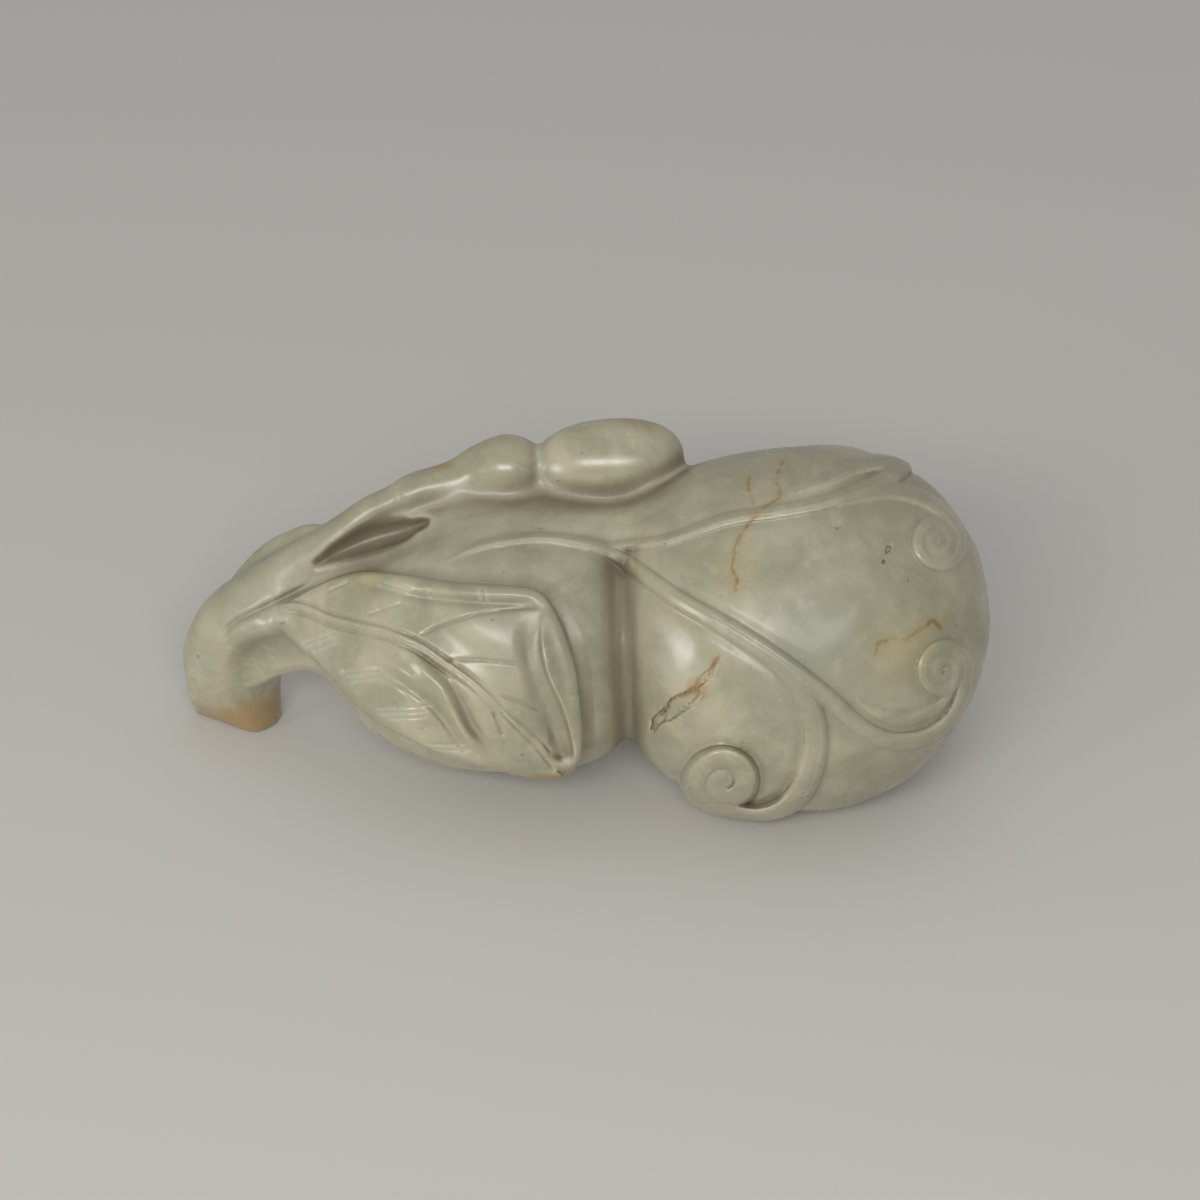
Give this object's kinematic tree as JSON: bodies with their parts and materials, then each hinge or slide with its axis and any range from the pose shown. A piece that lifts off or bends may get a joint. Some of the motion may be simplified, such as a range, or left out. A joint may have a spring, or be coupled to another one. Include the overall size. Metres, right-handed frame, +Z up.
{
  "type": "jade double gourd carving",
  "caption": "Carved jade double gourd lying on its side, with a hooked stalk, baby gourd, leaves and curling tendrils in relief.",
  "frame": {"origin": "middle of the carving's plan, on the surface it rests on", "axes": "+X along the gourd towards its blossom end, -Y the broad front with the leaf and curls, +Z up"},
  "size_m": [0.091, 0.0424, 0.04],
  "materials": {
    "jade": "waxy polish, pale celadon with russet veins"
  },
  "bodies": {
    "root": {"gourd_carving": "jade"}
  },
  "joints": []
}
